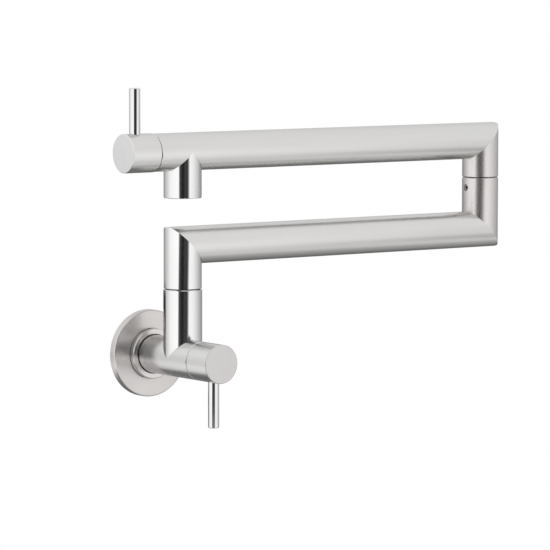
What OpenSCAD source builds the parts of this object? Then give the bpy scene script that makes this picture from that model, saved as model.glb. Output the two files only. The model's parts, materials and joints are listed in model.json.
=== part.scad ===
// Wall mounted pot filler: two tubular arms that fold over each other, with a quarter turn
// valve at the wall and another at the spout.
// The origin is the mouth of the water inlet, in the plane of the wall. The wall is the XZ plane,
// the tap stands out from it along -Y, and the folded arms run along +X.

/* [Tubes] */
// Outside diameter of the arms, the elbows and the spout
tube_d = 28; // [27:0.5:34]
// How much thicker the wall of the valve body, the riser's stub and the handles is
body_step = 0.3; // [0:0.05:1]
// Wall of the arms and the elbows
tube_wall = 2; // [1.5:0.1:2.4]
// Gap between two turning tubes, and between a valve and its handle
seam_gap = 0.6; // [0.4:0.05:1]
// Broken edge at the end of a tube
edge_chamfer = 0.4; // [0.2:0.05:0.8]

/* [Arms] */
// Length of each arm, from one upright axis to the other
arm_length = 280; // [200:5:340]
// Height of the lower arm above the water inlet
lower_arm_height = 83.5; // [76:0.5:110]
// Height of the upper arm above the lower arm
arm_rise = 68.8; // [66:0.1:90]
// Height of the riser's turning joint above the water inlet
riser_joint_height = 51.5; // [47:0.5:56]
// Height of the elbow's turning joint above the lower arm
elbow_joint_rise = 40.5; // [38:0.5:43]
// Rounding of the outer corner where the two arms meet
elbow_corner_r = 2.4; // [1:0.1:3]
// Rounding of the outer corner above the riser
riser_corner_r = 1.2; // [0.5:0.1:2]

/* [Valves] */
// Distance from the wall to the riser's axis
riser_reach = 48; // [46:0.5:60]
// Distance from the riser's axis to the lower handle's seam
lower_valve_reach = 24.7; // [22:0.1:28]
// Distance from the spout's axis to the upper handle's seam
upper_valve_reach = 27.1; // [24:0.1:29]
// Length of a handle, from its seam to its end face
handle_length = 24.7; // [23:0.1:30]
// Distance from a handle's end face to its lever
lever_setback = 10; // [9:0.5:12]
// Diameter of a lever
lever_d = 8.1; // [7:0.1:9]
// Distance from a handle's axis to the lever's tip
lever_tip_radius = 47.4; // [36:0.1:60]

/* [Spout] */
// Distance from the upper arm's axis down to the spout's mouth
spout_drop = 33.9; // [31:0.1:42]
// Wall of the spout round the aerator
nozzle_wall = 2; // [1.6:0.1:2.5]

/* [Wall flange] */
// Diameter of the wall flange
flange_d = 65; // [56:1:80]
// Thickness of the wall flange
flange_thickness = 6; // [5:0.25:9]
// Thickness of the flange's front plate
flange_plate = 2; // [1.5:0.1:3]
// Rounding of the flange's front edge
flange_edge_r = 1.2; // [0.5:0.1:1.4]
// Width of the flange's rim, behind the plate
flange_rim = 2.5; // [2:0.1:4]
// Radial thickness of the collar round the body
collar_width = 3.8; // [3:0.1:4.5]
// How far the collar stands in front of the flange
collar_stand = 4.5; // [3:0.1:7]
// Gap between the body and the collar
collar_gap = 0.6; // [0.4:0.05:0.8]

/* [Water inlet] */
// Diameter of the threaded inlet, at the tops of its threads
inlet_thread_d = 18.4; // [17:0.1:19]
// Length of the threaded inlet
inlet_thread_length = 16; // [13:0.5:18]

/* [Hidden] */
$fn = 96;
overrun = 1;
brazed_gap = 0.05;
running_gap = 0.08;
face_gap = 0.05;
hull_size = 900;

tube_r = tube_d / 2;
body_r = tube_r + body_step;
tube_bore_r = tube_r - tube_wall;
nozzle_bore_r = tube_r - nozzle_wall;
upper_arm_height = lower_arm_height + arm_rise;
elbow_joint_height = lower_arm_height + elbow_joint_rise;
spout_mouth_height = upper_arm_height - spout_drop;
body_length = riser_reach + lower_valve_reach - seam_gap / 2;

collar_bore_r = body_r + collar_gap;
collar_r = collar_bore_r + collar_width;
collar_hole_gap = 0.3;
collar_lip = 2.7;
collar_back = 1;
collar_chamfer = 0.5;
flange_recess = flange_thickness - flange_plate;
collar_front = flange_thickness + collar_stand;
collar_ring_section_d = 1.9;
collar_ring_seat = 0.04;
collar_groove_w = 2.5;
collar_groove_y = flange_thickness;

inlet_shoulder = 6;
inlet_passage_r = 7;

// The valve cartridge lies along local +Z, with the handle's seam at zero
cartridge_plug_back = 14;
cartridge_plug_front = 1;
cartridge_skirt_r = 8.6;
cartridge_skirt_end = 37.9;
cartridge_hex_af = 17;
cartridge_hex_front = 4;
cartridge_neck_r = 7;
cartridge_neck_front = 7;
window_back = 29;
window_front = 19;
window_w = 8;
disc_r = 6.5;
disc_thickness = 3;
fixed_disc_back = 35;
port_inner_r = 2.2;
port_outer_r = 5.4;
port_angle = 72;
quarter_turn = 90;
seal_bore_r = 4.6;
seat_ring_length = 4;
seat_ring_front = cartridge_skirt_end + 2 * face_gap;
seat_bore_r = 5.4;
stem_r = 4.5;
stem_neck_r = 3.4;
stem_flange_length = 3;
stem_journal_back = 16;
stem_journal_front = 8;
stem_front = 18.5;
stem_ring_z = -6;
stem_tang_w = 2.6;
stem_tang_length = 1.2;
spline_count = 20;
spline_r = 4;
spline_depth = 0.35;
moving_disc_back = fixed_disc_back - disc_thickness - face_gap;
stem_flange_back = moving_disc_back - disc_thickness - face_gap;
plug_ring_z = -10;

// The handle shares the cartridge's frame, and its lever points along local +X
cap_cavity_front = 9;
cap_cavity_wall = 2.4;
cap_spline_front = 19.5;
lever_z = seam_gap / 2 + handle_length - lever_setback;
lever_seat_depth = 1.6;
lever_seat_gap = 0.05;
lever_chamfer = 0.4;
lever_thread_r = 2.9;
lever_thread_length = 2.9;
handle_screw_length = 4.6;
handle_screw_r = 3;
handle_screw_hex_af = 3;
handle_screw_hex_depth = 2.2;
thread_gap = 0.05;

// The turning joint lies along local +Z, with its seam at zero and the spigot hanging below it
spigot_r = 9;
spigot_bore_r = 6.4;
spigot_length = 26;
spigot_head = 10;
socket_length = 28;
washer_edge = 0.9;
washer_running_gap = 0.1;
retainer_drop = 8;
retainer_r = 2.5;
retainer_sink = 0.7;
retainer_dog_r = 1.4;
retainer_groove_w = 4;
retainer_groove_depth = 1.3;
retainer_hex_af = 2.5;
retainer_hex_depth = 2;
retainer_hole_gap = 0.1;
seal_drops = [15.5, 20.5];

// Rubber rings: section, the gap that keeps them clear of both walls, and the groove's width
ring_section_d = 1.6;
ring_clear = 0.03;
ring_groove_w = 2.2;

aerator_length = 9.5;
aerator_sink = 0.6;
aerator_wall = 2;
aerator_lip = 1;
aerator_insert_length = 6.5;
aerator_gasket_thickness = 1.8;
aerator_gasket_wall = 2.6;
aerator_mesh_thickness = 1;
nozzle_shoulder = 2;
mesh_hole_r = 0.75;
mesh_pitch = 2.1;
mesh_rings = 4;
insert_slot_r = 1.2;
insert_slot_count = 8;
insert_slot_circle_share = 0.62;
aerator_base = spout_mouth_height + aerator_sink;
aerator_top = aerator_base + aerator_length;
gasket_top = aerator_top + face_gap + aerator_gasket_thickness;
aerator_r = nozzle_bore_r - brazed_gap;
aerator_bore_r = aerator_r - aerator_wall;
insert_r = aerator_bore_r - brazed_gap;

satin = "silver";
polished = "gainsboro";
brass = "darkkhaki";
rubber = "dimgray";
ceramic = "white";
plastic = "whitesmoke";

// A straight sleeve along +Z whose two outer edges are broken
module sleeve(outer_r, inner_r, from_z, to_z, start_chamfer = 0, end_chamfer = 0) {
    rotate_extrude()
        polygon([
            [inner_r, from_z],
            [outer_r - start_chamfer, from_z],
            [outer_r, from_z + start_chamfer],
            [outer_r, to_z - end_chamfer],
            [outer_r - end_chamfer, to_z],
            [inner_r, to_z]
        ]);
}

// A bar along +Z whose two outer edges are broken
module bar(r, from_z, to_z, start_chamfer = 0, end_chamfer = 0) {
    rotate_extrude()
        polygon([
            [0, from_z],
            [r - start_chamfer, from_z],
            [r, from_z + start_chamfer],
            [r, to_z - end_chamfer],
            [r - end_chamfer, to_z],
            [0, to_z]
        ]);
}

module hex_bar(across_flats, from_z, to_z) {
    translate([0, 0, from_z])
        cylinder(h = to_z - from_z, r = across_flats / sqrt(3), $fn = 6);
}

// A rubber ring round the Z axis that fills the room between two radii
module rubber_ring(inner_r, outer_r, z) {
    section_r = (outer_r - inner_r) / 2 - ring_clear;
    rotate_extrude()
        translate([(inner_r + outer_r) / 2, z])
            circle(r = section_r, $fn = 48);
}

// Everything on the far side of a plane through the origin that leans by the angle about Y
module far_side(angle) {
    rotate([0, angle, 0])
        translate([-hull_size / 2, -hull_size / 2, 0])
            cube(hull_size);
}

// A right-angled wedge along the Y axis whose edge is at the origin and which opens upwards
module wedge(height) {
    rotate([90, 0, 0])
        translate([0, 0, -tube_d])
            linear_extrude(height = 2 * tube_d)
                polygon([[0, 0], [height, height], [-height, height]]);
}

// What a rounded outer corner takes off. The corner is at the origin and points to +X and +Z
module corner_cut(r) {
    difference() {
        translate([-r, -tube_r, -r])
            cube([r + overrun, tube_d, r + overrun]);
        translate([-r, tube_r + overrun, -r])
            rotate([90, 0, 0])
                cylinder(h = tube_d + 2 * overrun, r = r);
    }
}

module at_riser(height) {
    translate([0, -riser_reach, height]) children();
}

module at_post(height) {
    translate([arm_length, -riser_reach, height]) children();
}

// The lower valve's frame: local +Z points away from the wall and local +X points down
module at_lower_valve() {
    translate([0, -riser_reach - lower_valve_reach, 0])
        rotate([90, 90, 0]) children();
}

// The upper valve's frame: local +Z points along -X and local +X points up
module at_upper_valve() {
    translate([-upper_valve_reach, -riser_reach, upper_arm_height])
        rotate([0, -90, 0]) children();
}

// The two frames of the turning joints. The riser's screw faces the wall, the elbow's the spout
module at_riser_joint() {
    at_riser(riser_joint_height) rotate([0, 0, 90]) children();
}

module at_elbow_joint() {
    at_post(elbow_joint_height) rotate([0, 0, 180]) children();
}

// Wall flange and collar

module wall_flange() {
    flange_r = flange_d / 2;
    hole_r = collar_r + collar_hole_gap;
    color(satin)
        rotate([90, 0, 0])
            rotate_extrude()
                difference() {
                    union() {
                        translate([hole_r, 0])
                            square([flange_r - flange_edge_r - hole_r, flange_thickness]);
                        translate([hole_r, 0])
                            square([flange_r - hole_r, flange_thickness - flange_edge_r]);
                        translate([flange_r - flange_edge_r, flange_thickness - flange_edge_r])
                            circle(r = flange_edge_r);
                    }
                    translate([0, -overrun])
                        square([flange_r - flange_rim, flange_recess + overrun]);
                }
}

module flange_collar() {
    lip_r = collar_r + collar_lip;
    groove_r = collar_bore_r - collar_gap + collar_ring_section_d + collar_ring_seat;
    groove_back = collar_groove_y - collar_groove_w / 2;
    groove_front = collar_groove_y + collar_groove_w / 2;
    color(satin)
        rotate([90, 0, 0])
            rotate_extrude()
                polygon([
                    [collar_bore_r, collar_back],
                    [lip_r, collar_back],
                    [lip_r, flange_recess],
                    [collar_r, flange_recess],
                    [collar_r, collar_front - collar_chamfer],
                    [collar_r - collar_chamfer, collar_front],
                    [collar_bore_r, collar_front],
                    [collar_bore_r, groove_front],
                    [groove_r, groove_front],
                    [groove_r, groove_back],
                    [collar_bore_r, groove_back]
                ]);
}

module collar_ring() {
    color(rubber)
        rotate([90, 0, 0])
            rubber_ring(body_r, body_r + collar_ring_section_d, collar_groove_y);
}

// Valve body and riser

module body_tube() {
    color(satin)
        difference() {
            rotate([90, 0, 0])
                sleeve(body_r, tube_bore_r, 0, body_length, 0, edge_chamfer);
            at_riser(0)
                rotate([0, 0, 90]) wedge(body_r + overrun);
        }
}

module inlet_socket() {
    color(brass)
        rotate([90, 0, 0])
            rotate_extrude()
                polygon([
                    [inlet_thread_d / 2, 0],
                    [tube_bore_r - brazed_gap, 0],
                    [tube_bore_r - brazed_gap, inlet_thread_length + inlet_shoulder],
                    [inlet_passage_r, inlet_thread_length + inlet_shoulder],
                    [inlet_passage_r, inlet_thread_length],
                    [inlet_thread_d / 2, inlet_thread_length]
                ]);
}

module retainer_hole(r) {
    translate([0, 0, -retainer_drop])
        rotate([0, 90, 0])
            cylinder(h = body_r + overrun, r = r);
}

module riser_stub() {
    color(polished)
        difference() {
            intersection() {
                at_riser(0)
                    sleeve(
                        body_r, tube_bore_r, -overrun, riser_joint_height - seam_gap / 2,
                        0, edge_chamfer
                    );
                at_riser(0)
                    rotate([0, 0, 90]) wedge(riser_joint_height);
            }
            at_riser_joint() retainer_hole(retainer_r + retainer_hole_gap);
        }
}

// Turning joint

module joint_socket() {
    color(brass)
        difference() {
            sleeve(
                tube_bore_r - brazed_gap, spigot_r + running_gap,
                -seam_gap / 2 - socket_length, -seam_gap / 2
            );
            retainer_hole(retainer_r + thread_gap);
        }
}

module joint_slip_washer() {
    color(rubber)
        sleeve(
            tube_r - washer_edge, spigot_r + running_gap,
            -seam_gap / 2, seam_gap / 2 - washer_running_gap
        );
}

module joint_retaining_screw() {
    head_x = tube_r - retainer_sink;
    shoulder_x = spigot_r + 2 * running_gap + retainer_hole_gap;
    tip_x = spigot_r - retainer_groove_depth + 2 * retainer_hole_gap;
    color(satin)
        translate([0, 0, -retainer_drop])
            rotate([0, 90, 0])
                difference() {
                    union() {
                        bar(retainer_r, shoulder_x, head_x, 0, edge_chamfer);
                        bar(retainer_dog_r, tip_x, head_x - edge_chamfer);
                    }
                    hex_bar(retainer_hex_af, head_x - retainer_hex_depth, head_x + overrun);
                }
}

module joint_spigot() {
    groove_floor = spigot_r - ring_section_d;
    retainer_floor = spigot_r - retainer_groove_depth;
    color(brass)
        difference() {
            union() {
                sleeve(spigot_r, spigot_bore_r, -spigot_length, seam_gap / 2, edge_chamfer);
                sleeve(
                    tube_bore_r - brazed_gap, spigot_bore_r,
                    seam_gap / 2, seam_gap / 2 + spigot_head
                );
            }
            for (drop = seal_drops)
                sleeve(
                    spigot_r + overrun, groove_floor,
                    -drop - ring_groove_w / 2, -drop + ring_groove_w / 2
                );
            sleeve(
                spigot_r + overrun, retainer_floor,
                -retainer_drop - retainer_groove_w / 2, -retainer_drop + retainer_groove_w / 2
            );
        }
}

module joint_spigot_rings() {
    color(rubber)
        for (drop = seal_drops)
            rubber_ring(spigot_r - ring_section_d, spigot_r + running_gap, -drop);
}

// Arms and posts

module riser_elbow() {
    color(polished)
        difference() {
            at_riser(0)
                sleeve(
                    tube_r, tube_bore_r,
                    riser_joint_height + seam_gap / 2, lower_arm_height + tube_r + overrun,
                    edge_chamfer
                );
            at_riser(lower_arm_height) far_side(45);
            at_riser(lower_arm_height)
                translate([-tube_r, 0, tube_r])
                    rotate([0, 0, 180]) corner_cut(riser_corner_r);
        }
}

module lower_arm_tube() {
    color(satin)
        difference() {
            at_riser(lower_arm_height)
                rotate([0, 90, 0])
                    sleeve(tube_r, tube_bore_r, -tube_r - overrun, arm_length + tube_r + overrun);
            at_riser(lower_arm_height) far_side(225);
            at_post(lower_arm_height) far_side(45);
            at_riser(lower_arm_height)
                translate([-tube_r, 0, tube_r])
                    rotate([0, 0, 180]) corner_cut(riser_corner_r);
            at_post(lower_arm_height)
                translate([tube_r, 0, -tube_r])
                    rotate([180, 0, 0]) corner_cut(elbow_corner_r);
        }
}

module elbow_lower_post() {
    color(satin)
        difference() {
            at_post(0)
                sleeve(
                    tube_r, tube_bore_r,
                    lower_arm_height - tube_r - overrun, elbow_joint_height - seam_gap / 2,
                    0, edge_chamfer
                );
            at_post(lower_arm_height) far_side(225);
            at_post(lower_arm_height)
                translate([tube_r, 0, -tube_r])
                    rotate([180, 0, 0]) corner_cut(elbow_corner_r);
            at_elbow_joint() retainer_hole(retainer_r + retainer_hole_gap);
        }
}

module elbow_upper_post() {
    color(satin)
        difference() {
            at_post(0)
                sleeve(
                    tube_r, tube_bore_r,
                    elbow_joint_height + seam_gap / 2, upper_arm_height + tube_r + overrun,
                    edge_chamfer
                );
            at_post(upper_arm_height) far_side(-45);
            at_post(upper_arm_height)
                translate([tube_r, 0, tube_r]) corner_cut(elbow_corner_r);
        }
}

module upper_arm_tube() {
    seam_x = upper_valve_reach - seam_gap / 2;
    color(satin)
        difference() {
            at_riser(upper_arm_height)
                rotate([0, 90, 0])
                    sleeve(
                        tube_r, tube_bore_r, -seam_x, arm_length + tube_r + overrun, edge_chamfer
                    );
            at_post(upper_arm_height) far_side(135);
            at_post(upper_arm_height)
                translate([tube_r, 0, tube_r]) corner_cut(elbow_corner_r);
            at_riser(upper_arm_height)
                mirror([0, 0, 1]) wedge(tube_r + overrun);
        }
}

// Spout and aerator

module spout_nozzle() {
    shoulder_r = nozzle_bore_r - aerator_gasket_wall;
    shoulder_base = gasket_top + face_gap;
    color(polished)
        intersection() {
            at_riser(0)
                rotate_extrude()
                    polygon([
                        [nozzle_bore_r, spout_mouth_height],
                        [tube_r - edge_chamfer, spout_mouth_height],
                        [tube_r, spout_mouth_height + edge_chamfer],
                        [tube_r, upper_arm_height + overrun],
                        [nozzle_bore_r, upper_arm_height + overrun],
                        [nozzle_bore_r, shoulder_base + nozzle_shoulder],
                        [shoulder_r, shoulder_base + nozzle_shoulder],
                        [shoulder_r, shoulder_base],
                        [nozzle_bore_r, shoulder_base]
                    ]);
            at_riser(upper_arm_height)
                mirror([0, 0, 1]) wedge(spout_drop + overrun);
        }
}

module aerator_housing() {
    color(polished)
        at_riser(aerator_base)
            rotate_extrude()
                polygon([
                    [aerator_bore_r - aerator_lip, 0],
                    [aerator_r - edge_chamfer, 0],
                    [aerator_r, edge_chamfer],
                    [aerator_r, aerator_length],
                    [aerator_bore_r, aerator_length],
                    [aerator_bore_r, aerator_lip],
                    [aerator_bore_r - aerator_lip, aerator_lip]
                ]);
}

module aerator_screen() {
    color(satin)
        at_riser(aerator_base + aerator_lip)
            difference() {
                cylinder(h = aerator_mesh_thickness, r = insert_r);
                translate([0, 0, -overrun])
                    for (ring = [0 : mesh_rings - 1])
                        for (step = [0 : max(6 * ring, 1) - 1])
                            rotate([0, 0, step * 360 / max(6 * ring, 1)])
                                translate([ring * mesh_pitch, 0, 0])
                                    cylinder(
                                        h = aerator_mesh_thickness + 2 * overrun,
                                        r = mesh_hole_r, $fn = 24
                                    );
            }
}

module aerator_insert() {
    insert_base = aerator_base + aerator_lip + aerator_mesh_thickness + face_gap;
    color(plastic)
        at_riser(insert_base)
            difference() {
                cylinder(h = aerator_insert_length, r = insert_r);
                translate([0, 0, -overrun])
                    for (step = [0 : insert_slot_count - 1])
                        rotate([0, 0, step * 360 / insert_slot_count])
                            translate([insert_r * insert_slot_circle_share, 0, 0])
                                cylinder(
                                    h = aerator_insert_length + 2 * overrun, r = insert_slot_r,
                                    $fn = 32
                                );
            }
}

module aerator_gasket() {
    color(rubber)
        at_riser(0)
            sleeve(
                nozzle_bore_r - brazed_gap, nozzle_bore_r - aerator_gasket_wall,
                aerator_top + face_gap, gasket_top
            );
}

// Valve cartridge

module seat_ring() {
    color(brass)
        sleeve(
            tube_bore_r - brazed_gap, seat_bore_r,
            -seat_ring_front - seat_ring_length, -seat_ring_front
        );
}

module seat_seal() {
    color(rubber)
        sleeve(disc_r, seal_bore_r, -seat_ring_front, -fixed_disc_back - face_gap);
}

module cartridge_windows() {
    for (turn = [0, quarter_turn])
        rotate([0, 0, turn])
            translate([-cartridge_skirt_r - overrun, -window_w / 2, -window_back])
                cube([2 * (cartridge_skirt_r + overrun), window_w, window_back - window_front]);
}

module cartridge() {
    plug_r = tube_bore_r - brazed_gap;
    groove_floor = tube_bore_r - ring_section_d;
    color(brass)
        difference() {
            union() {
                bar(cartridge_skirt_r, -cartridge_skirt_end, -cartridge_plug_back);
                bar(plug_r, -cartridge_plug_back, -cartridge_plug_front);
                hex_bar(cartridge_hex_af, -cartridge_plug_front, cartridge_hex_front);
                bar(
                    cartridge_neck_r, cartridge_hex_front, cartridge_neck_front,
                    0, edge_chamfer
                );
            }
            bar(disc_r + running_gap, -cartridge_skirt_end - overrun, -stem_journal_back);
            bar(stem_r + running_gap, -stem_journal_back - overrun, cartridge_neck_front + overrun);
            cartridge_windows();
            sleeve(
                plug_r + overrun, groove_floor,
                plug_ring_z - ring_groove_w / 2, plug_ring_z + ring_groove_w / 2
            );
        }
}

module cartridge_ring() {
    color(rubber)
        rubber_ring(tube_bore_r - ring_section_d, tube_bore_r, plug_ring_z);
}

// Two opposite ports through a disc that lies from zero to the height
module disc_ports(height) {
    for (side = [0, 2 * quarter_turn])
        rotate([0, 0, side - port_angle / 2])
            translate([0, 0, -overrun])
                rotate_extrude(angle = port_angle)
                    translate([port_inner_r, 0])
                        square([port_outer_r - port_inner_r, height + 2 * overrun]);
}

module fixed_disc() {
    color(ceramic)
        translate([0, 0, -fixed_disc_back])
            difference() {
                cylinder(h = disc_thickness, r = disc_r);
                disc_ports(disc_thickness);
            }
}

// The moving disc's ports stand a quarter turn from the fixed disc's, so the valve is shut
module moving_disc() {
    slot_w = stem_tang_w + 2 * running_gap;
    slot_depth = stem_tang_length + running_gap;
    color(ceramic)
        translate([0, 0, -moving_disc_back])
            difference() {
                cylinder(h = disc_thickness, r = disc_r);
                rotate([0, 0, quarter_turn]) disc_ports(disc_thickness);
                translate([-disc_r - overrun, -slot_w / 2, disc_thickness - slot_depth])
                    cube([2 * (disc_r + overrun), slot_w, slot_depth + overrun]);
            }
}

// Outline of a splined shaft, grown all round by the allowance
function spline_outline(allowance) = [
    for (tooth = [0 : spline_count - 1], corner = [0 : 3])
        let (
            pitch = 360 / spline_count,
            corner_shares = [-0.3, -0.15, 0.15, 0.3],
            at_tip = corner == 1 || corner == 2,
            r = (at_tip ? spline_r : spline_r - spline_depth) + allowance,
            angle = (tooth + corner_shares[corner]) * pitch
        )
        [r * cos(angle), r * sin(angle)]
];

module stem() {
    groove_floor = stem_r - ring_section_d;
    color(brass)
        difference() {
            union() {
                translate([0, 0, -stem_flange_back])
                    cylinder(h = stem_flange_length, r = disc_r);
                bar(stem_neck_r, -stem_flange_back, -stem_journal_back + overrun);
                bar(stem_r, -stem_journal_back, stem_journal_front, edge_chamfer, edge_chamfer);
                translate([0, 0, stem_journal_front - overrun])
                    linear_extrude(height = stem_front - stem_journal_front + overrun)
                        polygon(spline_outline(0));
                translate([
                    -disc_r + edge_chamfer, -stem_tang_w / 2, -stem_flange_back - stem_tang_length
                ])
                    cube([2 * (disc_r - edge_chamfer), stem_tang_w, stem_tang_length + overrun]);
            }
            translate([0, 0, -stem_flange_back])
                rotate([0, 0, quarter_turn]) stem_passages();
            sleeve(
                stem_r + overrun, groove_floor,
                stem_ring_z - ring_groove_w / 2, stem_ring_z + ring_groove_w / 2
            );
        }
}

// Openings in the stem's flange that let the water past the moving disc
module stem_passages() {
    for (side = [0, 2 * quarter_turn])
        rotate([0, 0, side - port_angle / 2])
            translate([0, 0, -overrun])
                rotate_extrude(angle = port_angle)
                    translate([stem_neck_r, 0])
                        square([disc_r, stem_flange_length + 2 * overrun]);
}

module stem_ring() {
    color(rubber)
        rubber_ring(stem_r - ring_section_d, stem_r + running_gap, stem_ring_z);
}

// Handle

module handle_cap() {
    cap_end = seam_gap / 2 + handle_length;
    seat_x = body_r - lever_seat_depth;
    color(satin)
        difference() {
            bar(body_r, seam_gap / 2, cap_end, edge_chamfer, edge_chamfer);
            bar(body_r - cap_cavity_wall, seam_gap / 2 - overrun, cap_cavity_front);
            translate([0, 0, cap_cavity_front - overrun])
                linear_extrude(height = cap_spline_front - cap_cavity_front + overrun)
                    polygon(spline_outline(running_gap));
            translate([0, 0, lever_z])
                rotate([0, 90, 0]) {
                    cylinder(h = body_r + overrun, r = handle_screw_r + thread_gap);
                    translate([0, 0, seat_x])
                        cylinder(h = lever_seat_depth + overrun, r = lever_d / 2 + lever_seat_gap);
                }
        }
}

module lever() {
    seat_x = body_r - lever_seat_depth;
    color(polished)
        translate([0, 0, lever_z])
            rotate([0, 90, 0]) {
                bar(lever_d / 2, seat_x, lever_tip_radius, 0, lever_chamfer);
                bar(lever_thread_r, seat_x - lever_thread_length, seat_x + overrun);
            }
}

module handle_screw() {
    foot_x = spline_r + 2 * running_gap;
    head_x = foot_x + handle_screw_length;
    color(satin)
        translate([0, 0, lever_z])
            rotate([0, 90, 0])
                difference() {
                    bar(handle_screw_r, foot_x, head_x, edge_chamfer, edge_chamfer);
                    hex_bar(
                        handle_screw_hex_af, head_x - handle_screw_hex_depth, head_x + overrun
                    );
                }
}

wall_flange();
flange_collar();
collar_ring();
body_tube();
inlet_socket();
riser_stub();
at_riser_joint() joint_socket();  // riser_socket
at_riser_joint() joint_slip_washer();  // riser_slip_washer
at_riser_joint() joint_retaining_screw();  // riser_retaining_screw
at_lower_valve() seat_ring();  // lower_seat_ring
at_lower_valve() seat_seal();  // lower_seat_seal
at_lower_valve() cartridge();  // lower_cartridge
at_lower_valve() cartridge_ring();  // lower_cartridge_ring
at_lower_valve() fixed_disc();  // lower_fixed_disc
at_lower_valve() handle_cap();  // lower_handle_cap
at_lower_valve() lever();  // lower_lever
at_lower_valve() handle_screw();  // lower_handle_screw
at_lower_valve() stem();  // lower_stem
at_lower_valve() moving_disc();  // lower_moving_disc
at_lower_valve() stem_ring();  // lower_stem_ring
riser_elbow();
at_riser_joint() joint_spigot();  // riser_spigot
at_riser_joint() joint_spigot_rings();  // riser_spigot_rings
lower_arm_tube();
elbow_lower_post();
at_elbow_joint() joint_socket();  // elbow_socket
at_elbow_joint() joint_slip_washer();  // elbow_slip_washer
at_elbow_joint() joint_retaining_screw();  // elbow_retaining_screw
elbow_upper_post();
at_elbow_joint() joint_spigot();  // elbow_spigot
at_elbow_joint() joint_spigot_rings();  // elbow_spigot_rings
upper_arm_tube();
spout_nozzle();
aerator_housing();
aerator_insert();
aerator_screen();
aerator_gasket();
at_upper_valve() seat_ring();  // upper_seat_ring
at_upper_valve() seat_seal();  // upper_seat_seal
at_upper_valve() cartridge();  // upper_cartridge
at_upper_valve() cartridge_ring();  // upper_cartridge_ring
at_upper_valve() fixed_disc();  // upper_fixed_disc
at_upper_valve() handle_cap();  // upper_handle_cap
at_upper_valve() lever();  // upper_lever
at_upper_valve() handle_screw();  // upper_handle_screw
at_upper_valve() stem();  // upper_stem
at_upper_valve() moving_disc();  // upper_moving_disc
at_upper_valve() stem_ring();  // upper_stem_ring
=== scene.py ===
"""Wall mounted pot filler in stainless steel: finishes, fine details, studio and camera."""
import json
import math

import bpy
from mathutils import Matrix, Vector


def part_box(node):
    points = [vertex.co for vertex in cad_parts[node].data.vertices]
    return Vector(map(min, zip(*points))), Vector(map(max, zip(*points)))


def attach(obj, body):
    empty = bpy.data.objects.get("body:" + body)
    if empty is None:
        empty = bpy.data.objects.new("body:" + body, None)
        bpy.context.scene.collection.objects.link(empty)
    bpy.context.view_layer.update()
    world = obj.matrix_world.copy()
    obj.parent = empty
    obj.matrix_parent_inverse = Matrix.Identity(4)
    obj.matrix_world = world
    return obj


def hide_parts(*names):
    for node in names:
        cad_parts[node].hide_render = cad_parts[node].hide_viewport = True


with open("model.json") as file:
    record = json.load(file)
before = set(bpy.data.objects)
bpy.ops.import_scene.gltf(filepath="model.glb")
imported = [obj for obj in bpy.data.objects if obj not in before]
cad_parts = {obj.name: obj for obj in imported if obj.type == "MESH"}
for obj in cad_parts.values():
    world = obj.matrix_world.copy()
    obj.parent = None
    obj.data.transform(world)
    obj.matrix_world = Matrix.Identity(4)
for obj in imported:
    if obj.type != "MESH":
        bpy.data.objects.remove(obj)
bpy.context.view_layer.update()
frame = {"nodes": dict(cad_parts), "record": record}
nodes = frame["nodes"]
MM = 0.001
FULL_TURN = 2.0 * math.pi
# Sides of each round shape made here
ROUND_SIDES = 96

# The photograph's camera, in degrees, metres and pixels
PICTURE_WIDTH = 550
FOCAL_PIXELS = 3745.2
CAMERA_PLACE = Vector((-1.5493, -2.3107, 0.3040))
CAMERA_YAW = 35.817
CAMERA_PITCH = -5.053
CAMERA_ROLL = 0.067
SENSOR_WIDTH = 36.0
CLIP_END = 50.0

# The studio is on the wall of a round light tent. Its angles go from the camera's side of the
# tap to the right, in degrees. Its heights are sines of the angle above the tent's middle.
# Light in a ring at the height of the horizon: angle, brightness
STUDIO_RING = [
    (-180, 0.36), (-155, 0.42), (-140, 0.52), (-124, 0.68), (-100, 0.88), (-80, 1.17),
    (-60, 1.26), (-20, 1.33), (45, 1.22), (62, 1.17), (80, 1.0), (96, 0.82), (115, 0.62),
    (135, 0.5), (150, 0.42), (165, 0.37), (180, 0.36),
]
# Light from below the horizon: angle, brightness
TABLE_LIGHT = [
    (-180, 0.2), (-162, 0.36), (-143, 0.62), (-125, 0.88), (-108, 1.02), (-60, 1.05),
    (70, 1.05), (82, 0.9), (92, 0.68), (106, 0.46), (134, 0.3), (160, 0.2), (180, 0.22),
]
# Light from above: angle, brightness
CEILING_LIGHT = [
    (-180, 0.96), (-165, 0.93), (-150, 0.92), (-110, 0.98), (-75, 1.03), (-30, 1.0),
    (60, 1.0), (110, 0.96), (180, 0.96),
]
RISES = (0.0, 1.0)
FALLS = (1.0, 0.0)
# The heights between which the table gives way to the ring, and the ring to the ceiling
TABLE_ENDS = (-0.38, -0.25)
CEILING_STARTS = (0.0, 0.28)
# The dark strip with the camera in it: angle, share of the light that it takes away, and the
# heights between which it ends
DARK_STRIP = [
    (-25, 0.0), (-19, 0.93), (-2, 0.985), (7, 0.98), (12, 0.95), (27, 0.96), (31, 0.92),
    (36, 0.65), (42, 0.0),
]
STRIP_ENDS = (0.35, 0.7)
# The strip leans to the right with height: degrees for a height of 1, and the height at which
# it stands at its angles
STRIP_LEAN = 45.0
STRIP_FOOT = -0.088
# A low dark screen at the back on the left, in the same way
DARK_SCREEN = [(-176, 0.0), (-170, 0.93), (-123, 0.93), (-113, 0.0)]
SCREEN_ENDS = (-0.14, -0.128)
# The tent's middle, radius, foot and top from the middle in metres, and the light behind it
TENT_MIDDLE = (0.0, -0.048, 0.09)
TENT_RADIUS = 0.87
TENT_FOOT = -0.62
TENT_TOP = 0.87
TENT_LIGHT = 1.4
WHITE = (1.0, 1.0, 1.0, 1.0)

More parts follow.
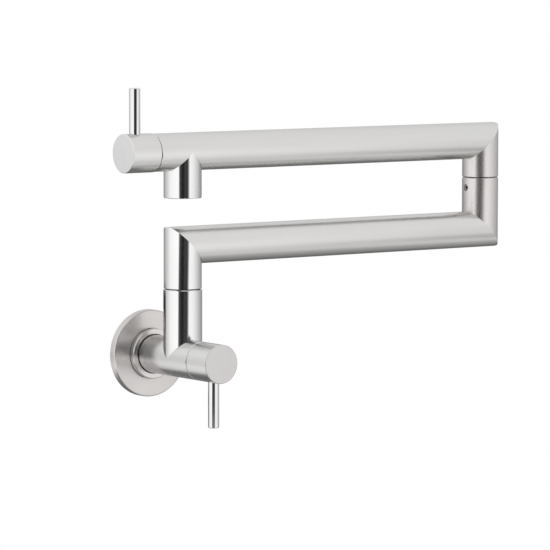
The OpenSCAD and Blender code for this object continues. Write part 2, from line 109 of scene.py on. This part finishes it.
# The floor, in metres
FLOOR_MIDDLE = (0.1, -0.1)
FLOOR_HEIGHT = -0.45
FLOOR_RADIUS = 0.75
FLOOR_GREY = 0.8
FLOOR_ROUGHNESS = 0.9
# Light that the camera sees on the floor besides what falls on it
FLOOR_GLOW = 0.4
# The way across the floor along which metal sees it brighten, and by how far: metres, level
FLOOR_BRIGHTENS = (0.35, -0.94, 0.0)
FLOOR_LIGHT = [(-0.6, 0.14), (-0.2, 0.2), (0.1, 0.37), (0.35, 0.57), (0.6, 0.82)]

# Colours of the finishes
STEEL = (0.695, 0.688, 0.676)
PALE_STEEL = (0.735, 0.73, 0.722)
WARM_STEEL = (0.7, 0.675, 0.664)
BRIGHT_STEEL = (0.74, 0.738, 0.735)
# The ends of both handles are the same ground steel in two copies: the lower one darker, as
# painted shade, and the upper one paler, as painted light.
PAINTED_SHADE_FACED_STEEL = (0.63, 0.612, 0.605)
PAINTED_LIGHT_FACED_STEEL = (0.8, 0.798, 0.796)
DARK_STEEL = (0.42, 0.42, 0.43)
BRASS = (0.74, 0.56, 0.27)
BLACK_RUBBER = (0.02, 0.02, 0.021)
BLACK_PLASTIC = (0.025, 0.025, 0.027)
IVORY_CERAMIC = (0.82, 0.81, 0.78)
WHITE_PLASTIC = (0.78, 0.78, 0.77)
# At a grazing angle the metal isn't a full mirror
EDGE_TINT = (0.78, 0.78, 0.78, 1.0)

# Grain of the finishes: noise per metre along and across a tube, and on other surfaces
STREAK_ALONG = 14.0
STREAK_ACROSS = 1500.0
CLOUD_ALONG = 25.0
CLOUD_ACROSS = 90.0
LATHE_RINGS = 2200.0
LATHE_CLOUDS = 60.0
GROUND_GRAIN = 900.0
GROUND_CLOUDS = 45.0
DULL_GRAIN = 1200.0
# A face of a handle is its end where its normal is below this along the handle's axis
OUTWARD = -0.5
# A quarter turn, which lays the highlights of turned metal across its rings
ACROSS_RINGS = 0.25
# Where most of a noise lies, and most of the sum of two
ONE_NOISE = (0.3, 0.7)
TWO_NOISES = (0.6, 1.4)
# How far the grain darkens and lightens a colour, and how far it changes the roughness
BRUSHED_TONES = (0.975, 1.02)
TURNED_TONES = (0.95, 1.04)
GROUND_TONES = (0.97, 1.03)
BRUSHED_UNEVEN = 0.08
TURNED_UNEVEN = 0.12
GROUND_UNEVEN = 0.15
DULL_UNEVEN = 0.1
# Depth of the relief in metres
STREAK_DEPTH = 0.0000012
POLISHED_DEPTH = 0.0000006
GRAIN_DEPTH = 0.000003
DULL_DEPTH = 0.00001

THREAD_PITCH = 1.814 * MM
THREAD_DEPTH = 1.2 * MM
THREAD_PITCH_STEPS = 12
# Shape of the thread: share of a pitch from its deepest place to the flat of its crest, share
# of a pitch in which it runs in and out, and share of its depth at the mouth
THREAD_FLANK = 0.44
THREAD_RUN = 0.5
THREAD_AT_MOUTH = 0.35
# The passage behind the thread, as a share of the thread's crest
PASSAGE_SHARE = 0.76


def level(value):
    """A grey of that brightness."""
    return (value, value, value, 1.0)


class Graph:
    """A short way to add shader nodes to a tree and to link them."""

    def __init__(self, tree):
        self.tree = tree

    def add(self, kind, settings=None, **inputs):
        """A node of that kind. An input is a value or another node's socket."""
        node = self.tree.nodes.new(kind)
        for key, value in (settings or {}).items():
            setattr(node, key, value)
        for key, value in inputs.items():
            socket = self.socket(node, key)
            if isinstance(value, bpy.types.NodeSocket):
                self.tree.links.new(value, socket)
            else:
                socket.default_value = value
        return node

    @staticmethod
    def socket(node, key):
        """The input called by its name with _ for a space, or by a number such as in_0."""
        if key.startswith("in_"):
            return node.inputs[int(key[3:])]
        return node.inputs[key.replace("_", " ")]

    def feed(self, node, **sources):
        """Links sockets to the inputs of a node that is already there."""
        for key, source in sources.items():
            self.tree.links.new(source, self.socket(node, key))

    def math(self, operation, first, second=0.0):
        """One step of arithmetic."""
        return self.add(
            "ShaderNodeMath", {"operation": operation}, in_0=first, in_1=second
        ).outputs[0]

    def vector(self, operation, first, output="Vector", **inputs):
        """One step of arithmetic with vectors."""
        return self.add(
            "ShaderNodeVectorMath", {"operation": operation}, in_0=first, **inputs
        ).outputs[output]

    def ramp(self, value, stops):
        """A colour ramp from (position, colour) stops."""
        node = self.add("ShaderNodeValToRGB", Fac=value)
        elements = node.color_ramp.elements
        for index, (position, colour) in enumerate(stops):
            element = elements[index] if index < 2 else elements.new(position)
            element.position = position
            element.color = colour
        return node.outputs["Color"]

    def spread(self, value, source, target):
        """The value moved from one range to another, and kept within it."""
        return self.add(
            "ShaderNodeMapRange", Value=value, From_Min=source[0], From_Max=source[1],
            To_Min=target[0], To_Max=target[1],
        ).outputs["Result"]

    def mixed(self, factor, first, second):
        """A colour between two colours."""
        return self.add(
            "ShaderNodeMix", {"data_type": "RGBA"}, in_0=factor, in_6=first, in_7=second
        ).outputs[2]

    def place(self):
        """Object coordinates, in metres."""
        return self.add("ShaderNodeTexCoord").outputs["Object"]

    def noise(self, scales, detail=3.0, roughness=0.5):
        """A noise between 0 and 1, scaled on each axis by its own factor."""
        stretched = self.add("ShaderNodeMapping", Vector=self.place(), Scale=scales)
        return self.add(
            "ShaderNodeTexNoise", Vector=stretched.outputs[0], Scale=1.0, Detail=detail,
            Roughness=roughness,
        ).outputs[0]

    def uneven(self, grain, roughness, share):
        """A roughness that the grain makes more or less by that share."""
        return self.spread(
            grain, ONE_NOISE, (roughness * (1.0 - share), roughness * (1.0 + share))
        )

    def finish(self, shader, colour, tone, roughness, grain, depth):
        """Gives the shader a colour times a tone, a roughness and the relief of its grain."""
        bump = self.add("ShaderNodeBump", Height=grain, Strength=1.0, Distance=depth)
        self.feed(
            shader, Base_Color=self.vector("SCALE", colour, Scale=tone), Roughness=roughness,
            Normal=bump.outputs[0],
        )

    def radial(self, shader, axis):
        """Lays the highlights round an axis."""
        tangent = self.add("ShaderNodeTangent", {"direction_type": "RADIAL", "axis": axis})
        self.feed(shader, Tangent=tangent.outputs[0])


def new_material(name, **values):
    """A material with a principled shader, whose sockets take the values."""
    material = bpy.data.materials.new(name)
    material.use_nodes = True
    shader = material.node_tree.nodes["Principled BSDF"]
    for key, value in values.items():
        Graph.socket(shader, key).default_value = value
    return material, Graph(material.node_tree), shader


def new_metal(name, anisotropy=0.0):
    """A material with what all the metal here has in common."""
    return new_material(
        name, Metallic=1.0, Anisotropic=anisotropy, Specular_Tint=EDGE_TINT
    )


def along(axis, near, across):
    """Three factors: one along the axis and another across it."""
    return tuple(near if letter == axis else across for letter in "XYZ")


def brushed_steel(name, axis, colour, roughness, anisotropy):
    """Steel tube brushed along an axis: fine streaks, and highlights that spread round it."""
    material, graph, shader = new_metal(name, anisotropy)
    streaks = graph.noise(
        along(axis, STREAK_ALONG, STREAK_ACROSS), detail=4.0, roughness=0.65
    )
    clouds = graph.noise(along(axis, CLOUD_ALONG, CLOUD_ACROSS), roughness=0.55)
    tone = graph.spread(graph.math("ADD", streaks, clouds), TWO_NOISES, BRUSHED_TONES)
    uneven = graph.uneven(streaks, roughness, BRUSHED_UNEVEN)
    graph.finish(shader, colour, tone, uneven, streaks, STREAK_DEPTH)
    graph.radial(shader, axis)
    return material


def turned_steel(name, axis, colour, roughness, anisotropy):
    """Steel turned on a lathe round an axis: fine rings, and highlights that spread across."""
    material, graph, shader = new_metal(name, anisotropy)
    shader.inputs["Anisotropic Rotation"].default_value = ACROSS_RINGS
    flat = graph.vector("MULTIPLY", graph.place(), in_1=along(axis, 0.0, 1.0))
    rings = graph.add(
        "ShaderNodeTexNoise", {"noise_dimensions": "1D"},
        W=graph.vector("LENGTH", flat, "Value"), Scale=LATHE_RINGS, Detail=3.0,
    ).outputs[0]
    clouds = graph.noise((LATHE_CLOUDS,) * 3)
    tone = graph.spread(graph.math("ADD", rings, clouds), TWO_NOISES, TURNED_TONES)
    uneven = graph.uneven(rings, roughness, TURNED_UNEVEN)
    graph.finish(shader, colour, tone, uneven, rings, GRAIN_DEPTH)
    graph.radial(shader, axis)
    return material


def ground_metal(name, colour, roughness, depth=GRAIN_DEPTH):
    """Metal with an even, fine grain, such as a ground face, a polished bar or cast brass."""
    material, graph, shader = new_metal(name)
    fine = graph.noise((GROUND_GRAIN,) * 3)
    clouds = graph.noise((GROUND_CLOUDS,) * 3)
    tone = graph.spread(graph.math("ADD", fine, clouds), TWO_NOISES, GROUND_TONES)
    uneven = graph.uneven(clouds, roughness, GROUND_UNEVEN)
    graph.finish(shader, colour, tone, uneven, fine, depth)
    return material


def dull_material(name, colour, roughness, variation=0.15):
    """Rubber, plastic or ceramic with slight unevenness."""
    material, graph, shader = new_material(name, Metallic=0.0)
    fine = graph.noise((DULL_GRAIN,) * 3)
    tone = graph.spread(fine, ONE_NOISE, (1.0 - variation, 1.0 + variation))
    uneven = graph.uneven(fine, roughness, DULL_UNEVEN)
    graph.finish(shader, colour, tone, uneven, fine, DULL_DEPTH)
    return material


satin = {
    "X": brushed_steel("satin_steel_x", "X", STEEL, 0.22, 0.6),
    "Y": brushed_steel("satin_steel_y", "Y", PALE_STEEL, 0.24, 0.6),
    "Z": brushed_steel("satin_steel_z", "Z", WARM_STEEL, 0.27, 0.6),
}
turned = turned_steel("turned_steel", "Y", WARM_STEEL, 0.32, 0.85)
collar_steel = turned_steel("collar_steel", "Y", WARM_STEEL, 0.25, 0.6)
polished = ground_metal("polished_steel", BRIGHT_STEEL, 0.09, POLISHED_DEPTH)
# Two copies of one ground steel for the handles' ends: the lower one darker, painted shade,
# and the upper one paler, painted light.
faced_painted_light_and_shade = {
    "lower_handle_cap": ground_metal("faced_steel_painted_shade", PAINTED_SHADE_FACED_STEEL, 0.34),
    "upper_handle_cap": ground_metal("faced_steel_painted_light", PAINTED_LIGHT_FACED_STEEL, 0.3),
}
brass = ground_metal("machined_brass", BRASS, 0.28)

FINISHES = {
    "wall_flange": turned, "flange_collar": collar_steel,
    "body_tube": satin["Y"], "lower_handle_cap": satin["Y"],
    "lower_arm_tube": satin["X"], "upper_arm_tube": satin["X"],
    "upper_handle_cap": satin["X"],
    "elbow_lower_post": satin["Z"], "elbow_upper_post": satin["Z"],
    "riser_stub": polished, "riser_elbow": polished, "spout_nozzle": polished,
    "lower_lever": polished, "upper_lever": polished, "aerator_housing": polished,
}
SLOT_FINISHES = {
    "screw_steel": ground_metal("screw_steel", DARK_STEEL, 0.3),
    "brass": brass,
    "seal_rubber": dull_material("seal_rubber", BLACK_RUBBER, 0.6),
    "washer_plastic": dull_material("washer_plastic", BLACK_PLASTIC, 0.45),
    "disc_ceramic": dull_material("disc_ceramic", IVORY_CERAMIC, 0.22, 0.03),
    "aerator_plastic": dull_material("aerator_plastic", WHITE_PLASTIC, 0.4, 0.03),
}


def finish_nodes():
    """Gives every CAD node its finish."""
    slots = {row["node"]: row["material_slot"] for row in frame["record"]["subparts"]}
    for name, node in nodes.items():
        finish = FINISHES.get(name) or SLOT_FINISHES[slots[name]]
        node.data.materials.clear()
        node.data.materials.append(finish)


def face_ends(name, axis):
    """Gives the outer end of a handle a ground finish in place of the brushed one, in that
    handle's own copy of it: darker on the lower handle as painted shade, paler on the upper as
    painted light.
    """
    mesh = nodes[name].data
    mesh.materials.append(faced_painted_light_and_shade[name])
    index = len(mesh.materials) - 1
    for polygon in mesh.polygons:
        if polygon.normal["XYZ".index(axis)] < OUTWARD:
            polygon.material_index = index


def new_object(name, vertices, faces, material):
    """An object of those faces in the scene."""
    mesh = bpy.data.meshes.new(name)
    mesh.from_pydata(vertices, [], faces)
    mesh.update()
    mesh.materials.append(material)
    piece = bpy.data.objects.new(name, mesh)
    bpy.context.scene.collection.objects.link(piece)
    return piece


def circle(radius, height, middle=(0.0, 0.0)):
    """Points of a level circle."""
    return [
        (
            radius * math.cos(FULL_TURN * side / ROUND_SIDES) + middle[0],
            radius * math.sin(FULL_TURN * side / ROUND_SIDES) + middle[1],
            height,
        )
        for side in range(ROUND_SIDES)
    ]


def bands(rows, closed=False):
    """Faces between rows of ROUND_SIDES points each. Closed joins the last to the first."""
    faces = []
    for row in range(rows if closed else rows - 1):
        near = row * ROUND_SIDES
        far = (row + 1) % rows * ROUND_SIDES
        for side in range(ROUND_SIDES):
            beside = (side + 1) % ROUND_SIDES
            faces.append((near + side, near + beside, far + beside, far + side))
    return faces


def groove(phase):
    """Depth of a V thread with a small flat at its crest, from 0 to 1, over one pitch."""
    return max(0.0, 1.0 - abs(phase - 0.5) / THREAD_FLANK)


def fade(from_mouth, from_end):
    """Lets the thread run in and out at its ends."""
    room = THREAD_RUN * THREAD_PITCH
    run_in = THREAD_AT_MOUTH + (1.0 - THREAD_AT_MOUTH) * from_mouth / room
    return min(1.0, max(0.0, from_end / room), run_in)


def threaded_socket():
    """The inlet socket with its inner thread cut, in place of the plain one."""
    low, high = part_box("inlet_socket")
    mount = next(row for row in frame["record"]["mounts"] if row["name"] == "inlet_thread")
    outer, mouth, back = high.x, high.y, low.y
    crest = mount["dims"]["r_mm"] * MM
    thread_end = mouth - mount["dims"]["length_mm"] * MM
    passage = crest * PASSAGE_SHARE
    rows = round((mouth - thread_end) / THREAD_PITCH * THREAD_PITCH_STEPS)
    rings = [(False, outer, back), (False, outer, mouth)]
    rings += [
        (True, crest, mouth + (thread_end - mouth) * row / rows) for row in range(rows + 1)
    ]
    rings += [(False, passage, thread_end), (False, passage, back)]
    vertices = []
    for threaded, radius, y in rings:
        for step in range(ROUND_SIDES):
            share = step / ROUND_SIDES
            reach = radius
            if threaded:
                phase = ((mouth - y) / THREAD_PITCH + share) % 1.0
                reach += THREAD_DEPTH * groove(phase) * fade(mouth - y, y - thread_end)
            angle = FULL_TURN * share
            vertices.append((reach * math.cos(angle), y, reach * math.sin(angle)))
    piece = new_object(
        "inlet_socket_threaded", vertices, bands(len(rings), closed=True), brass
    )
    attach(piece, "wall_body")
    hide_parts("inlet_socket")


def studio_world():
    """White for the camera, and an even light behind the tent."""
    world = bpy.data.worlds.new("studio")
    bpy.context.scene.world = world
    world.use_nodes = True
    world.node_tree.nodes.clear()
    graph = Graph(world.node_tree)
    seen = graph.add("ShaderNodeLightPath").outputs["Is Camera Ray"]
    behind = graph.add("ShaderNodeBackground", Color=WHITE, Strength=TENT_LIGHT)
    backdrop = graph.add("ShaderNodeBackground", Color=WHITE, Strength=1.0)
    mix = graph.add(
        "ShaderNodeMixShader", in_0=seen, in_1=behind.outputs[0], in_2=backdrop.outputs[0]
    )
    graph.add("ShaderNodeOutputWorld", Surface=mix.outputs[0])


def around(graph, turn, stops):
    """Level by angle. A turn goes from 0 at the back, round the left, to 1 at the back."""
    return graph.ramp(turn, [(0.5 + angle / 360.0, level(value)) for angle, value in stops])


def studio_light(graph):
    """The light that the tent's wall lets through, as a share of the light behind it."""
    yaw = math.radians(CAMERA_YAW)
    towards_camera = (-math.sin(yaw), -math.cos(yaw), 0.0)
    to_the_right = (math.cos(yaw), -math.sin(yaw), 0.0)
    direction = graph.vector("NORMALIZE", graph.place())
    ahead = graph.vector("DOT_PRODUCT", direction, "Value", in_1=towards_camera)
    aside = graph.vector("DOT_PRODUCT", direction, "Value", in_1=to_the_right)
    height = graph.add("ShaderNodeSeparateXYZ", Vector=direction).outputs["Z"]
    turn = graph.math("DIVIDE", graph.math("ARCTAN2", aside, ahead), FULL_TURN)
    turn = graph.math("ADD", turn, 0.5)
    below = graph.spread(height, TABLE_ENDS, FALLS)
    above_table = graph.math("SUBTRACT", 1.0, below)

    lift = graph.math("SUBTRACT", height, STRIP_FOOT)
    leaning = graph.math("SUBTRACT", turn, graph.math("MULTIPLY", lift, STRIP_LEAN / 360.0))
    dark_things = []
    for stops, across, ends in (
        (DARK_STRIP, leaning, STRIP_ENDS), (DARK_SCREEN, turn, SCREEN_ENDS),
    ):
        shape = graph.math(
            "MULTIPLY", around(graph, across, stops), graph.spread(height, ends, FALLS)
        )
        dark_things.append(graph.math("MULTIPLY", shape, above_table))
    left = graph.math("SUBTRACT", 1.0, graph.math("MAXIMUM", *dark_things))

    lit = graph.mixed(
        below, around(graph, turn, STUDIO_RING), around(graph, turn, TABLE_LIGHT)
    )
    above = graph.spread(height, CEILING_STARTS, RISES)
    lit = graph.mixed(above, lit, around(graph, turn, CEILING_LIGHT))
    return graph.vector("SCALE", lit, Scale=graph.math("DIVIDE", left, TENT_LIGHT))


def studio_tent():
    """The tent, clear for the camera. Its wall lets through the studio's light."""
    material = bpy.data.materials.new("tent")
    material.use_nodes = True
    material.node_tree.nodes.clear()
    graph = Graph(material.node_tree)
    seen = graph.add("ShaderNodeLightPath").outputs["Is Camera Ray"]
    clear = graph.add(
        "ShaderNodeBsdfTransparent", Color=graph.mixed(seen, studio_light(graph), WHITE)
    )
    graph.add("ShaderNodeOutputMaterial", Surface=clear.outputs[0])
    bottom, top = range(ROUND_SIDES), range(ROUND_SIDES, 2 * ROUND_SIDES)
    tent = new_object(
        "tent", circle(TENT_RADIUS, TENT_FOOT) + circle(TENT_RADIUS, TENT_TOP),
        bands(2) + [tuple(bottom), tuple(top)], material,
    )
    tent.location = TENT_MIDDLE


def pale_floor():
    """A round pale floor well below the tap, which keeps its shadow."""
    material, graph, shader = new_material(
        "floor", Roughness=FLOOR_ROUGHNESS, Base_Color=level(FLOOR_GREY),
        Emission_Color=WHITE,
    )
    path = graph.add("ShaderNodeLightPath")
    seen = graph.math(
        "MAXIMUM", path.outputs["Is Camera Ray"], path.outputs["Is Transmission Ray"]
    )
    graph.feed(shader, Emission_Strength=graph.math("MULTIPLY", seen, FLOOR_GLOW))
    distance = graph.vector("DOT_PRODUCT", graph.place(), "Value", in_1=FLOOR_BRIGHTENS)
    start = FLOOR_LIGHT[0][0]
    mirrored = graph.add(
        "ShaderNodeEmission",
        Color=graph.ramp(
            graph.math("SUBTRACT", distance, start),
            [(metres - start, level(value)) for metres, value in FLOOR_LIGHT],
        ),
        Strength=1.0,
    )
    mix = graph.add(
        "ShaderNodeMixShader", in_0=path.outputs["Is Glossy Ray"], in_1=shader.outputs[0],
        in_2=mirrored.outputs[0],
    )
    graph.feed(graph.tree.nodes["Material Output"], Surface=mix.outputs[0])
    rim = circle(FLOOR_RADIUS, FLOOR_HEIGHT, FLOOR_MIDDLE)
    new_object("floor", rim, [tuple(range(ROUND_SIDES))], material)


def place_camera():
    """The camera at the photograph's viewpoint."""
    data = bpy.data.cameras.new("camera")
    data.sensor_fit = "HORIZONTAL"
    data.sensor_width = SENSOR_WIDTH
    data.lens = FOCAL_PIXELS / PICTURE_WIDTH * SENSOR_WIDTH
    data.clip_end = CLIP_END
    camera = bpy.data.objects.new("camera", data)
    bpy.context.scene.collection.objects.link(camera)
    camera.matrix_world = (
        Matrix.Translation(CAMERA_PLACE)
        @ Matrix.Rotation(math.radians(-CAMERA_YAW), 4, "Z")
        @ Matrix.Rotation(math.radians(90.0 + CAMERA_PITCH), 4, "X")
        @ Matrix.Rotation(math.radians(CAMERA_ROLL), 4, "Z")
    )
    bpy.context.scene.camera = camera


finish_nodes()
face_ends("lower_handle_cap", "Y")
face_ends("upper_handle_cap", "X")
threaded_socket()
studio_world()
studio_tent()
pale_floor()
place_camera()
bpy.context.scene.view_settings.view_transform = "Standard"
